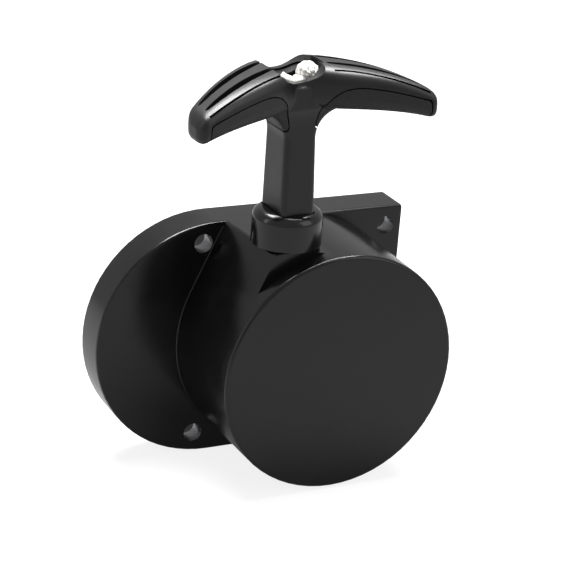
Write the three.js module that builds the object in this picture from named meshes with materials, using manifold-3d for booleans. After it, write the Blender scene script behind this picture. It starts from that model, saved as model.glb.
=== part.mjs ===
// Hand-pulled recoil starter: a cast drum housing with an offset mounting flange, a T-grip on a
// rope, and inside the drum a sprung rope reel with an outward-swinging two-pawl clutch.
// Millimetres. X right, Y back (the mounting face looks along +Y), Z up (the rope pulls along +Z).
// Everything is drawn with the drum's axis on Y and the drum's front face at Y = 0; the finished
// group is then moved so that its bounding box stands on Z = 0, centred on X and Y.
import * as THREE from 'three';
import { mergeVertices } from 'three/addons/utils/BufferGeometryUtils.js';
import Module from 'manifold-3d';

const wasm = await Module();
wasm.setup();

// ---- driving dimensions -------------------------------------------------------------------
const GAP = 0.3; // clearance between neighbouring pieces
const OVERCUT = 1; // how far a cutting tool runs past the face it cuts

// housing
const DRUM_R = 50.4;
const DRUM_DRAFT = 0.7; // extra radius at the flange, so that the casting leaves its mould
const DRUM_EDGE_R = 1.4;
const DRUM_WALL = 3.6;
const FRONT_WALL = 3.5;
const FLANGE_FRONT = 47.7; // Y of the flange's front plane
const FLANGE_THICK = 16.2;
const FLANGE_ROUND_X = -35; // centre of the round end
const FLANGE_RIGHT_X = 49.1;
const FLANGE_CORNER_R = 1.5;
const FLANGE_EDGE = 1;
const FLANGE_WALL = 4;
const FLANGE_SKIN = 3.4;
const BOLT_X = 41.7;
const BOLT_Z = 42.3;
const BOLT_HOLE_R = 4;
const BOLT_GRIP = 8; // length of the bolt hole before it opens out at the back
const BOLT_RELIEF_R = 5.6;
const BOLT_BOSS_R = 9.5;
const SPOTFACE_R = 6.2;
const SPOTFACE_REACH = 5; // how far in front of the flange the bolt head's room runs

// rope outlet
const ROPE_R = 2.1;
const OUTLET_X = -18.9;
const OUTLET_Y = 20.3;
const OUTLET_FRONT = 7.5; // Y of the outlet boss's front wall
const OUTLET_SLOPE = THREE.MathUtils.degToRad(25); // lean of the outlet boss's left wall
const OUTLET_CORNER_R = 2;
const OUTLET_FLAT_END = -6; // X where the boss's flat top starts to run out
const OUTLET_TAPER = 4; // how far the boss's left wall has drawn in at its front
const OUTLET_TOP_TAPER = 7; // the same for the end of its flat top
const COLLAR_R = 14.1;
const COLLAR_H = 14.2;
const COLLAR_SHOULDER_R = 4;
const SEAT_DEPTH = 8;
const EYELET_R = 5;
const EYELET_FLANGE_R = 7;
const EYELET_FLANGE_H = 1.3;
const EYELET_MOUTH_R = 4.4;

// recoil spring and reel
const POST_R = 8;
const POST_END = 32.4;
const BUSH_WALL = 1.7;
const HUB_WALL = 1.7;
const HUB_LIP = 1; // extra radius of the hub's raised back end
const SPRING_CUP_R = 37;
const SPRING_CUP_SHEET = 0.8;
const SPRING_WIDTH = 8;
const SPRING_STRIP = 0.7;
const SPRING_TURNS = 6;
const REEL_R = 41;
const REEL_ROOT_R = 18;
const REEL_FRONT_FLANGE = 2.9;
const REEL_BACK_FLANGE = 4.5;
const ROPE_TURNS = 4;
const ROPE_SLACK = 0.35; // room beside the rope in its groove, each side
const TURN_PITCH = 4.3;
const KNOT_POCKET_R = 3.3; // where the rope's inner end is knotted, in the reel's back flange
const KNOT_POCKET_AT = 16.6;

// clutch
const PAWL_COUNT = 2;
const PAWL_CLEARANCE = 1.1; // between the reel's raised hub and the inside of a folded pawl
const PAWL_THICK = 4.7;
const PAWL_SWING = THREE.MathUtils.degToRad(20);
const PAWL_LENGTH = 19;
const PEG = new THREE.Vector2(6, -8); // the cam peg, from the pawl's pivot
const PEG_R = 1.5;
const PEG_WALL = 1.9; // pawl metal beyond the peg's centre, towards the drum's axis
const PIN_R = 2.5;
const GUIDE_R = 25.5;
const GUIDE_THICK = 2.5;
const WASHER_THICK = 1.2;
const THRUST_THICK = 0.7;
const FRICTION_SPRING_H = 2;
const BOLT_R = 3;
const BOLT_HEAD_H = 4.5;
const BOLT_HEAD_FLATS = 10;
const BOLT_THREAD = 18; // length of bolt inside the post

// T-grip, heights measured from the top of the outlet boss
const GRIP_LEAN = 1.8; // degrees, how far the grip stands over to the left in the collar
const GRIP_TURN = 1.6; // degrees, how far it is turned about its stem, left arm forward
const STEM_HALF_X = 7.4;
const STEM_HALF_Y = 9.65;
const STEM_TAPER = 0.65; // how much both halves lose up to the crotch
const STEM_CORNER_R = 2.6;
const CROTCH_Z = 44.8;
const CROTCH_R = 12;
const BAR_ASIDE = -0.5; // the crossbar's middle, from the stem's
const BAR_BACK = 2.3;
const ARM_REACH = 50.8;
const ARM_TOP = 73.8;
const ARM_UNDERSIDE = 56.1;
const ARM_TOP_DROP = 11; // how far the top has come down at the tip
const ARM_TOP_POWER = 2.7; // how late along the arm it comes down
const ARM_UNDERSIDE_DROP = 3.7;
const ARM_HALF_D = 15.2;
const ARM_DEPTH_POWER = 1.9;
const ARM_SQUARENESS = 0.57; // 1 gives an oval section, less a squarer one
const ARM_WAIST = 3.6; // how much slimmer the bar is at the rope
const ARM_TIP_HALF_D = 7.3;
const ARM_SWEEP = 0.5; // how far the arms lean forward, per unit of reach
const SADDLE_R = 13;
const SADDLE_ASIDE = -2;
const SADDLE_Z = 66.9;
const SADDLE_LIP = 0.9; // height of the lip left standing along the saddle's front and back
const POCKET_FLOOR = 63;
const SLOT_WIDTH = 4.4;
const SLOT_DEPTH = 6;
const SLOT_TAPER = 0.35;
const SLOT_OFFSETS = [-5, 4.6];
const SLOT_FROM = 11.5;
const SLOT_TO = 46.5;
const PAD_THICK = 2.2;
const SEAM = 0.5;

// ---- sizes that follow --------------------------------------------------------------------
const MOUNT_Y = FLANGE_FRONT + FLANGE_THICK;
const DRUM_BACK_R = DRUM_R + DRUM_DRAFT;
const FLANGE_HALF = DRUM_BACK_R; // half height, and radius of the round end
const BOSS_TOP = FLANGE_HALF;
const COLLAR_BASE = BOSS_TOP + GAP;
const CAVITY_FRONT_R = DRUM_R - DRUM_WALL;
const EYELET_BOTTOM = Math.sqrt(CAVITY_FRONT_R ** 2 - OUTLET_X ** 2) - 0.9;
const EYELET_TOP = BOSS_TOP - GAP;
const EYELET_BORE = ROPE_R + 0.5;

const BUSH_IN = POST_R + GAP;
const BUSH_OUT = BUSH_IN + BUSH_WALL;
const REEL_BORE = BUSH_OUT + GAP;
const HUB_R = REEL_BORE + HUB_WALL;
const CUP_FRONT = FRONT_WALL + GAP;
const SPRING_FRONT = CUP_FRONT + SPRING_CUP_SHEET + GAP;
const SPRING_BACK = SPRING_FRONT + SPRING_WIDTH;
const GROOVE_HALF = ROPE_R + ROPE_SLACK;
const GROOVE_FRONT = OUTLET_Y - GROOVE_HALF;
const GROOVE_BACK = OUTLET_Y + GROOVE_HALF;
const REEL_FACE_FRONT = GROOVE_FRONT - REEL_FRONT_FLANGE;
const REEL_FACE_BACK = GROOVE_BACK + REEL_BACK_FLANGE;
const COIL_R = REEL_ROOT_R + GAP + ROPE_TURNS * TURN_PITCH;
const LEAVE_R = COIL_R + GAP + ROPE_R; // radius at which the rope leaves the coil

const PAWL_PIVOT_R = HUB_R + HUB_LIP + PAWL_CLEARANCE + PEG_WALL - PEG.y;
const PAWL_FRONT = REEL_FACE_BACK + GAP;
const PAWL_BACK = PAWL_FRONT + PAWL_THICK;
const THRUST_FRONT = POST_END + GAP;
const GUIDE_FRONT = Math.max(PAWL_BACK, THRUST_FRONT + THRUST_THICK) + GAP;
const GUIDE_BACK = GUIDE_FRONT + GUIDE_THICK;
const FRICTION_FRONT = GUIDE_BACK + GAP;
const WASHER_FRONT = FRICTION_FRONT + FRICTION_SPRING_H + GAP;
const BOLT_HEAD_FRONT = WASHER_FRONT + WASHER_THICK + GAP;
const STEM_BOTTOM = GAP + COLLAR_H - SEAT_DEPTH + GAP;

// ---- solids -------------------------------------------------------------------------------
// A closed solid from a geometry: equal points joined, empty triangles dropped.
function solid(geometry) {
  const bare = geometry.clone();
  for (const name of Object.keys(bare.attributes)) {
    if (name !== 'position') bare.deleteAttribute(name);
  }
  const merged = mergeVertices(bare, 1e-4);
  const triangles = [];
  for (let i = 0; i < merged.index.count; i += 3) {
    const [a, b, c] = [0, 1, 2].map((k) => merged.index.getX(i + k));
    if (a !== b && b !== c && c !== a) triangles.push(a, b, c);
  }
  const mesh = new wasm.Mesh({
    numProp: 3,
    vertProperties: Float32Array.from(merged.attributes.position.array),
    triVerts: Uint32Array.from(triangles),
  });
  return new wasm.Manifold(mesh);
}

// A geometry again from a finished solid.
function geometryOf(body) {
  const mesh = body.getMesh();
  const geometry = new THREE.BufferGeometry();
  geometry.setAttribute('position', new THREE.BufferAttribute(mesh.vertProperties, 3));
  geometry.setIndex(new THREE.BufferAttribute(mesh.triVerts, 1));
  geometry.computeVertexNormals();
  return geometry;
}

// A turned solid about the Y axis. The outline is [radius, height] pairs around the section,
// counter-clockwise with radius to the right, and closes on itself.
function turned(outline, segments = 24) {
  const points = [...outline, outline[0]].map(([r, y]) => new THREE.Vector2(r, y));
  return solid(new THREE.LatheGeometry(points, segments));
}

// The same about a vertical axis through (x, y).
function turnedUp(outline, x, y, segments = 32) {
  const points = [...outline, outline[0]].map(([r, z]) => new THREE.Vector2(r, z));
  const geometry = new THREE.LatheGeometry(points, segments);
  return solid(geometry.rotateX(Math.PI / 2).translate(x, y, 0));
}

// Points of a round corner, from one angle to another.
function arc(cx, cy, r, from, to, steps) {
  const points = [];
  for (let i = 0; i <= steps; i += 1) {
    const t = from + ((to - from) * i) / steps;
    points.push([cx + r * Math.cos(t), cy + r * Math.sin(t)]);
  }
  return points;
}

// A rod along Y or along Z.
function rodY(x, z, r, from, to, segments = 20) {
  const geometry = new THREE.CylinderGeometry(r, r, to - from, segments);
  return solid(geometry.translate(x, (from + to) / 2, z));
}
function rodZ(x, y, r, from, to, segments = 24) {
  const geometry = new THREE.CylinderGeometry(r, r, to - from, segments).rotateX(Math.PI / 2);
  return solid(geometry.translate(x, y, (from + to) / 2));
}

// An outline in the XZ plane, drawn out along Y.
function plateY(shape, from, to, options = {}) {
  const settings = { depth: to - from, bevelEnabled: false, curveSegments: 24, ...options };
  return solid(new THREE.ExtrudeGeometry(shape, settings).rotateX(Math.PI / 2).translate(0, to, 0));
}

function box(x0, x1, y0, y1, z0, z1) {
  const geometry = new THREE.BoxGeometry(x1 - x0, y1 - y0, z1 - z0);
  return solid(geometry.translate((x0 + x1) / 2, (y0 + y1) / 2, (z0 + z1) / 2));
}

function shapeOf(points) {
  return new THREE.Shape(points.map(([a, b]) => new THREE.Vector2(a, b)));
}

// A round rod along a smooth curve through the points.
function tube(points, r, steps, sides = 8) {
  const path = new THREE.CatmullRomCurve3(points.map((p) => new THREE.Vector3(...p)));
  const section = shapeOf(arc(0, 0, r, 0, 2 * Math.PI, sides).slice(0, sides));
  return solid(new THREE.ExtrudeGeometry(section, { steps, extrudePath: path }));
}

// ---- housing ------------------------------------------------------------------------------
function flangeOutline(inset) {
  const r = FLANGE_HALF - inset;
  const corner = FLANGE_CORNER_R;
  const right = FLANGE_RIGHT_X - inset - corner;
  return shapeOf([
    ...arc(right, corner - r, corner, -Math.PI / 2, 0, 3),
    ...arc(right, r - corner, corner, 0, Math.PI / 2, 3),
    ...arc(FLANGE_ROUND_X, 0, r, Math.PI / 2, 1.5 * Math.PI, 36),
  ]);
}

// The outlet boss seen from the front: its left wall is tangent to the drum.
function outletOutline() {
  const [sin, cos] = [Math.sin(OUTLET_SLOPE), Math.cos(OUTLET_SLOPE)];
  const rise = (BOSS_TOP - DRUM_BACK_R * sin) / cos;
  const corner = [-DRUM_BACK_R * cos + rise * sin, BOSS_TOP];
  const back = OUTLET_CORNER_R * Math.tan((Math.PI / 2 - OUTLET_SLOPE) / 2);
  const centre = [corner[0] + back, BOSS_TOP - OUTLET_CORNER_R];
  const round = arc(...centre, OUTLET_CORNER_R, Math.PI - OUTLET_SLOPE, Math.PI / 2, 5);
  const tangent = [-DRUM_BACK_R * cos, DRUM_BACK_R * sin];
  return shapeOf([tangent, ...round, [OUTLET_FLAT_END, BOSS_TOP], [2, DRUM_R - 1.2], [0, 20]]);
}

// The boss itself, narrowing towards its front so that it leaves the mould.
function outletBoss() {
  const back = FLANGE_FRONT + OVERCUT;
  const settings = { depth: back - OUTLET_FRONT, bevelEnabled: false };
  const geometry = new THREE.ExtrudeGeometry(outletOutline(), settings);
  geometry.rotateX(Math.PI / 2).translate(0, back, 0);
  const position = geometry.attributes.position;
  for (let i = 0; i < position.count; i += 1) {
    const [x, y] = [position.getX(i), position.getY(i)];
    const forward = (back - y) / (back - OUTLET_FRONT);
    if (x < OUTLET_X) position.setX(i, x + OUTLET_TAPER * forward);
    else if (position.getZ(i) > DRUM_R / 2) position.setX(i, x - OUTLET_TOP_TAPER * forward);
  }
  return solid(geometry);
}

// The rope's way from the coil's rim to the eyelet, as two points in the XZ plane.
function ropeLeave() {
  const eye = new THREE.Vector2(OUTLET_X, EYELET_BOTTOM - 1);
  const reach = eye.length();
  const swing = Math.asin(LEAVE_R / reach);
  const along = eye.clone().negate().normalize().rotateAround(new THREE.Vector2(), -swing);
  const leave = eye.clone().addScaledVector(along, reach * Math.cos(swing));
  return { eye, leave };
}

const boltPlaces = [-1, 1].flatMap((sx) => [-1, 1].map((sz) => [sx * BOLT_X, sz * BOLT_Z]));

function housing() {
  const drum = turned([
    [0, 0],
    ...arc(DRUM_R - DRUM_EDGE_R, DRUM_EDGE_R, DRUM_EDGE_R, -Math.PI / 2, 0, 4),
    [DRUM_BACK_R, FLANGE_FRONT],
    [DRUM_BACK_R, MOUNT_Y],
    [0, MOUNT_Y],
  ], 64);
  const bevel = { bevelEnabled: true, bevelSize: FLANGE_EDGE, bevelThickness: FLANGE_EDGE };
  const flange = plateY(flangeOutline(0), FLANGE_FRONT + FLANGE_EDGE, MOUNT_Y + OVERCUT, {
    ...bevel, bevelOffset: -FLANGE_EDGE, bevelSegments: 2,
  });
  const behind = box(-200, 200, MOUNT_Y, MOUNT_Y + 50, -200, 200);
  const outlet = outletBoss();
  let body = drum.add(flange).add(outlet).subtract(behind);

  const cavity = turned([
    [0, FRONT_WALL],
    [CAVITY_FRONT_R, FRONT_WALL],
    [DRUM_BACK_R - DRUM_WALL, MOUNT_Y + OVERCUT],
    [0, MOUNT_Y + OVERCUT],
  ], 64);
  const post = rodY(0, 0, POST_R, FRONT_WALL - OVERCUT, POST_END, 24);
  body = body.subtract(cavity).add(post);
  body = body.subtract(rodY(0, 0, BOLT_R + GAP, POST_END - BOLT_THREAD - 1, POST_END + OVERCUT));

  // hollow behind the flange's round end, outside the drum's own wall
  let hollow = plateY(flangeOutline(FLANGE_WALL), FLANGE_FRONT + FLANGE_SKIN, MOUNT_Y + OVERCUT);
  hollow = hollow.subtract(rodY(0, 0, DRUM_BACK_R, 0, MOUNT_Y + 2 * OVERCUT, 64));
  hollow = hollow.subtract(box(FLANGE_ROUND_X, 200, 0, 200, -200, 200));
  for (const [x, z] of boltPlaces) {
    hollow = hollow.subtract(rodY(x, z, BOLT_BOSS_R, 0, MOUNT_Y + 2 * OVERCUT));
  }
  body = body.subtract(hollow);

  for (const [x, z] of boltPlaces) {
    body = body.subtract(rodY(x, z, SPOTFACE_R, FLANGE_FRONT - SPOTFACE_REACH, FLANGE_FRONT));
    body = body.subtract(rodY(x, z, BOLT_HOLE_R, 0, MOUNT_Y + OVERCUT));
    body = body.subtract(rodY(x, z, BOLT_RELIEF_R, FLANGE_FRONT + BOLT_GRIP, MOUNT_Y + OVERCUT));
  }

  // the rope's passage: eyelet bore, its counterbore, and a leaning relief down into the drum
  const seatR = EYELET_FLANGE_R + GAP;
  const seatZ = EYELET_TOP - EYELET_FLANGE_H - GAP;
  body = body.subtract(rodZ(OUTLET_X, OUTLET_Y, EYELET_R + GAP, EYELET_BOTTOM - 6, BOSS_TOP + OVERCUT));
  body = body.subtract(rodZ(OUTLET_X, OUTLET_Y, seatR, seatZ, BOSS_TOP + OVERCUT));
  const { eye, leave } = ropeLeave();
  const relief = tube([[leave.x, OUTLET_Y, leave.y], [eye.x, OUTLET_Y, eye.y]], ROPE_R + 1.5, 1, 16);
  return body.subtract(relief);
}

// ---- rope outlet --------------------------------------------------------------------------
function roundedRectangle(halfX, halfY, r) {
  return shapeOf([
    ...arc(halfX - r, halfY - r, r, 0, Math.PI / 2, 4),
    ...arc(r - halfX, halfY - r, r, Math.PI / 2, Math.PI, 4),
    ...arc(r - halfX, r - halfY, r, Math.PI, 1.5 * Math.PI, 4),
    ...arc(halfX - r, r - halfY, r, 1.5 * Math.PI, 2 * Math.PI, 4),
  ]);
}

function collar() {
  const shoulder = arc(COLLAR_R - COLLAR_SHOULDER_R, COLLAR_BASE + COLLAR_H - COLLAR_SHOULDER_R,
    COLLAR_SHOULDER_R, 0, Math.PI / 2, 6);
  const top = COLLAR_BASE + COLLAR_H;
  let body = turnedUp([[0, COLLAR_BASE], [COLLAR_R, COLLAR_BASE], ...shoulder, [0, top]],
    OUTLET_X, OUTLET_Y, 36);
  const room = 0.5;
  const seat = roundedRectangle(STEM_HALF_X + room, STEM_HALF_Y + room, STEM_CORNER_R + room);
  const opening = new THREE.ExtrudeGeometry(seat, { depth: SEAT_DEPTH + OVERCUT, bevelEnabled: false });
  body = body.subtract(leaned(solid(opening.translate(OUTLET_X, OUTLET_Y, top - SEAT_DEPTH))));
  return body.subtract(rodZ(OUTLET_X, OUTLET_Y, ROPE_R + 1, 0, 100));
}

function eyelet() {
  const flangeZ = EYELET_TOP - EYELET_FLANGE_H;
  const flare = EYELET_MOUTH_R - EYELET_BORE;
  return turnedUp([
    ...arc(EYELET_MOUTH_R, EYELET_BOTTOM + flare, flare, 1.5 * Math.PI, Math.PI, 4),
    [EYELET_BORE, EYELET_TOP],
    [EYELET_FLANGE_R, EYELET_TOP],
    [EYELET_FLANGE_R, flangeZ],
    [EYELET_R, flangeZ],
    [EYELET_R, EYELET_BOTTOM],
  ].reverse(), OUTLET_X, OUTLET_Y, 24);
}

// ---- recoil spring ------------------------------------------------------------------------
function springCup() {
  const sheet = SPRING_CUP_SHEET;
  return turned([
    [HUB_R + 1, CUP_FRONT],
    [SPRING_CUP_R, CUP_FRONT],
    [SPRING_CUP_R, SPRING_BACK + 0.5],
    [SPRING_CUP_R - sheet, SPRING_BACK + 0.5],
    [SPRING_CUP_R - sheet, CUP_FRONT + sheet],
    [HUB_R + 1, CUP_FRONT + sheet],
  ], 40);
}

function recoilSpring() {
  const inner = HUB_R + GAP + SPRING_STRIP / 2;
  const outer = SPRING_CUP_R - SPRING_CUP_SHEET - GAP - SPRING_STRIP;
  const steps = SPRING_TURNS * 20;
  const edge = (side) => Array.from({ length: steps + 1 }, (_, i) => {
    const turn = (i / steps) * SPRING_TURNS * 2 * Math.PI;
    const r = inner + ((outer - inner) * i) / steps + side * (SPRING_STRIP / 2);
    return [r * Math.cos(turn), r * Math.sin(turn)];
  });
  return plateY(shapeOf([...edge(1), ...edge(-1).reverse()]), SPRING_FRONT, SPRING_BACK);
}

// ---- reel ---------------------------------------------------------------------------------
const pawlAngles = Array.from({ length: PAWL_COUNT }, (_, i) => (i * 2 * Math.PI) / PAWL_COUNT);
const turnAboutDrum = (body, angle) => body.rotate([0, -THREE.MathUtils.radToDeg(angle), 0]);

function reel() {
  const hubBack = POST_END - 0.7;
  let body = turned([
    [REEL_BORE, SPRING_FRONT],
    [HUB_R, SPRING_FRONT],
    [HUB_R, REEL_FACE_FRONT],
    [REEL_R, REEL_FACE_FRONT],
    [REEL_R, GROOVE_FRONT],
    [REEL_ROOT_R, GROOVE_FRONT],
    [REEL_ROOT_R, GROOVE_BACK],
    [REEL_R, GROOVE_BACK],
    [REEL_R, REEL_FACE_BACK],
    [HUB_R + HUB_LIP, REEL_FACE_BACK],
    [HUB_R + HUB_LIP, hubBack],
    [REEL_BORE, hubBack],
  ], 40);
  for (const angle of pawlAngles) {
    const hole = rodY(0, PAWL_PIVOT_R, PIN_R + GAP, GROOVE_BACK - OVERCUT, REEL_FACE_BACK + OVERCUT);
    const pocket = rodY(0, PAWL_PIVOT_R, 5, REEL_FACE_BACK - 3, REEL_FACE_BACK + OVERCUT);
    body = body.subtract(turnAboutDrum(hole.add(pocket), angle));
  }
  return body.subtract(rodY(-KNOT_POCKET_AT, 0, KNOT_POCKET_R, GROOVE_BACK - 1, REEL_FACE_BACK + OVERCUT));
}

function ropeEnd() {
  const half = (REEL_FACE_BACK - GROOVE_BACK) / 2 - 0.2;
  const knot = new THREE.SphereGeometry(1, 12, 8).scale(KNOT_POCKET_R - GAP, half, KNOT_POCKET_R - GAP);
  return solid(knot.translate(-KNOT_POCKET_AT, (GROOVE_BACK + REEL_FACE_BACK) / 2, 0));
}

function reelBush() {
  const back = POST_END - 0.4;
  return turned([[BUSH_IN, SPRING_FRONT], [BUSH_OUT, SPRING_FRONT], [BUSH_OUT, back], [BUSH_IN, back]]);
}

function ropeCoil() {
  const [front, back] = [OUTLET_Y - ROPE_R, OUTLET_Y + ROPE_R];
  const inner = REEL_ROOT_R + GAP;
  const crown = Array.from({ length: ROPE_TURNS }, (_, i) => inner + (i + 0.5) * TURN_PITCH);
  const valley = ROPE_R * 0.35;
  const between = crown.slice(1).map((r) => [r - TURN_PITCH / 2, front + valley]);
  const tops = crown.map((r) => [r, front]);
  const frontSide = [...tops, ...between].sort((a, b) => a[0] - b[0]);
  const backSide = frontSide.map(([r, y]) => [r, back - (y - front)]).reverse();
  return turned([
    [inner, front + valley],
    ...frontSide,
    [COIL_R, front + valley],
    [COIL_R, back - valley],
    ...backSide,
    [inner, back - valley],
  ], 32);
}

// ---- rope ---------------------------------------------------------------------------------
const ROPE_SPLIT = EYELET_TOP - 1; // height where the still stretch meets the pulled stretch

function ropeRun() {
  const { eye, leave } = ropeLeave();
  const at = (t) => [leave.x + (eye.x - leave.x) * t, OUTLET_Y, leave.y + (eye.y - leave.y) * t];
  return tube([at(0), at(0.45), at(0.85), [OUTLET_X, OUTLET_Y, EYELET_BOTTOM + 2],
    [OUTLET_X, OUTLET_Y, EYELET_BOTTOM + 5], [OUTLET_X, OUTLET_Y, ROPE_SPLIT]], ROPE_R, 14, 10);
}

function ropePull() {
  const foot = ROPE_SPLIT + GAP;
  const rise = BOSS_TOP + POCKET_FLOOR - GAP - foot;
  const aside = rise * Math.tan(THREE.MathUtils.degToRad(GRIP_LEAN));
  return tube([[OUTLET_X, OUTLET_Y, foot], [OUTLET_X - aside, OUTLET_Y, foot + rise]], ROPE_R, 1, 10);
}

// ---- T-grip -------------------------------------------------------------------------------
// Pieces of the grip are drawn upright, then turned and leaned over about the stem's foot.
function leaned(body) {
  const foot = [OUTLET_X, OUTLET_Y, BOSS_TOP + STEM_BOTTOM];
  const turned = body.translate(foot.map((v) => -v)).rotate([0, 0, GRIP_TURN]);
  return turned.rotate([0, -GRIP_LEAN, 0]).translate(foot);
}

const gripX = (x) => OUTLET_X + x;
const gripY = (forward) => OUTLET_Y - forward;
const gripZ = (z) => BOSS_TOP + z;

const armSweep = (a) => ARM_SWEEP * (Math.hypot(a, 6) - 6);
const armTop = (a) => ARM_TOP - ARM_TOP_DROP * (Math.abs(a) / ARM_REACH) ** ARM_TOP_POWER;
const armUnderside = (a) => ARM_UNDERSIDE - ARM_UNDERSIDE_DROP * (Math.abs(a) / ARM_REACH) ** 4;
const armMidZ = (a) => (armTop(a) + armUnderside(a)) / 2;
const armHalfH = (a) => (armTop(a) - armUnderside(a)) / 2;
const armHalfD = (a) => ARM_HALF_D - ARM_WAIST * Math.exp(-((a / 9) ** 2))
  - (ARM_HALF_D - ARM_TIP_HALF_D) * (Math.abs(a) / ARM_REACH) ** ARM_DEPTH_POWER;
const power = (value, exponent) => Math.sign(value) * Math.abs(value) ** exponent;

// Both arms as one bar: a rounded section carried along the bent centre line.
function armBar(inset) {
  const reach = ARM_REACH - inset;
  const geometry = new THREE.CylinderGeometry(1, 1, 2, 18, 24).rotateZ(Math.PI / 2);
  const position = geometry.attributes.position;
  for (let i = 0; i < position.count; i += 1) {
    const [u, c, s] = [position.getX(i), position.getY(i), position.getZ(i)];
    const a = reach * Math.sin((u * Math.PI) / 2) * 0.35 + reach * u * 0.65;
    const fromEnd = Math.max(0, Math.abs(a) - (reach - 4)) / 4.6;
    const shrink = (1 - fromEnd ** 2.6) ** 0.5;
    const radial = Math.hypot(c, s);
    const round = radial > 1e-6 ? [c, s].map((v) => power(v / radial, ARM_SQUARENESS)) : [0, 0];
    const depth = (armHalfD(a) - inset) * shrink * radial * round[0];
    const height = (armHalfH(a) - inset) * shrink * radial * round[1];
    const forward = armSweep(a) - BAR_BACK - depth;
    position.setXYZ(i, gripX(a + BAR_ASIDE), gripY(forward), gripZ(armMidZ(a) + height));
  }
  return solid(geometry);
}

// The stem, widening with a round crotch into the arms.
function stem(inset) {
  const [bottom, top] = [STEM_BOTTOM, armMidZ(0) + 1];
  const outline = roundedRectangle(1, 1, 0.3);
  const geometry = new THREE.ExtrudeGeometry(outline, { depth: 1, steps: 18, bevelEnabled: false });
  const position = geometry.attributes.position;
  for (let i = 0; i < position.count; i += 1) {
    const z = bottom + (top - bottom) * position.getZ(i);
    const taper = STEM_TAPER * Math.min(1, (z - bottom) / (CROTCH_Z - bottom));
    const rise = Math.min(1, Math.max(0, z - CROTCH_Z) / CROTCH_R);
    const flare = CROTCH_R * (1 - Math.sqrt(1 - rise ** 2));
    const x = position.getX(i) * (STEM_HALF_X - taper + flare - inset);
    const thin = 1 - 0.3 * rise * (x / (STEM_HALF_X + CROTCH_R)) ** 2;
    const half = (STEM_HALF_Y - taper - inset) * thin;
    const bend = armSweep(x) - (BAR_BACK * Math.abs(x)) / STEM_HALF_X / 2;
    const forward = position.getY(i) * half + rise * bend;
    position.setXYZ(i, gripX(x), gripY(forward), gripZ(z));
  }
  return solid(flipped(geometry));
}

// Turns a geometry inside out; a mirrored placement needs it.
function flipped(geometry) {
  const plain = geometry.index ? geometry.toNonIndexed() : geometry;
  const p = plain.attributes.position;
  for (let i = 0; i < p.count; i += 3) {
    const [b, c] = [1, 2].map((k) => new THREE.Vector3().fromBufferAttribute(p, i + k));
    p.setXYZ(i + 1, c.x, c.y, c.z);
    p.setXYZ(i + 2, b.x, b.y, b.z);
  }
  return plain;
}

const gripBody = (inset) => armBar(inset).add(stem(inset));

// Region of the soft pad seen from the front, for the arm on one side, grown by a margin.
function padRegion(side, grow) {
  const seam = [
    [5.6 - grow, 48.5 - grow],
    [6.6 - grow, 54.3],
    [8.6 - grow, 60.2],
    [12.3 - grow * 0.7, 64.3 + grow * 0.7],
    [17, 66 + grow],
    [22, 66 + grow],
    [30, 64.8 + grow],
    [36, 63.4 + grow],
    [44.6 + grow, 61 + grow],
    [46 + grow, 60.3 + grow],
    [46.4 + grow, 58],
    [46.6 + grow, 40],
    [14, 40],
    [14, 48.5 - grow],
  ].map(([a, z]) => [gripX(side * a), gripZ(z)]);
  const reach = 60;
  return plateY(shapeOf(side > 0 ? seam : seam.reverse()), OUTLET_Y - reach, OUTLET_Y + reach);
}

function gripPad(side) {
  return leaned(gripBody(0).intersect(padRegion(side, 0)).subtract(gripBody(PAD_THICK)));
}

// A groove that follows an arm's bend, cut into its top.
function armSlot(side, offset) {
  const geometry = new THREE.BoxGeometry(1, 1, 1, 12, 1, 1);
  const position = geometry.attributes.position;
  for (let i = 0; i < position.count; i += 1) {
    const a = side * (SLOT_FROM + (SLOT_TO - SLOT_FROM) * (position.getX(i) * side + 0.5));
    const taper = 1 - SLOT_TAPER * (Math.abs(a) / SLOT_TO) ** 3;
    const half = position.getY(i) * SLOT_WIDTH * (0.35 + 0.65 * taper);
    const forward = armSweep(a) - BAR_BACK + offset * taper - half;
    const top = armMidZ(a) + armHalfH(a);
    const z = position.getZ(i) > 0 ? top + 3 : top - SLOT_DEPTH * (0.4 + 0.6 * taper);
    position.setXYZ(i, gripX(a + BAR_ASIDE), gripY(forward), gripZ(z));
  }
  return solid(geometry);
}

function handleCore() {
  let body = gripBody(0);
  const inner = gripBody(PAD_THICK + GAP);
  for (const side of [-1, 1]) {
    body = body.subtract(padRegion(side, SEAM).subtract(inner));
    for (const offset of SLOT_OFFSETS) body = body.subtract(armSlot(side, offset));
  }
  const saddleZ = gripZ(SADDLE_Z + SADDLE_R);
  const scoop = new THREE.CylinderGeometry(SADDLE_R, SADDLE_R, 80, 40);
  const saddle = solid(scoop.translate(gripX(SADDLE_ASIDE), OUTLET_Y, saddleZ));
  body = body.subtract(saddle.intersect(inner)).subtract(saddle.translate([0, 0, SADDLE_LIP]));
  const pocket = roundedRectangle(9.6, 6.3, 3);
  const pocketCut = new THREE.ExtrudeGeometry(pocket, { depth: 20, bevelEnabled: false });
  body = body.subtract(solid(pocketCut.translate(gripX(0.7), gripY(0.3), gripZ(POCKET_FLOOR))));
  body = body.subtract(rodZ(OUTLET_X, OUTLET_Y, ROPE_R + 0.6, BOSS_TOP, gripZ(POCKET_FLOOR + 1), 16));
  return leaned(body);
}

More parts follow.
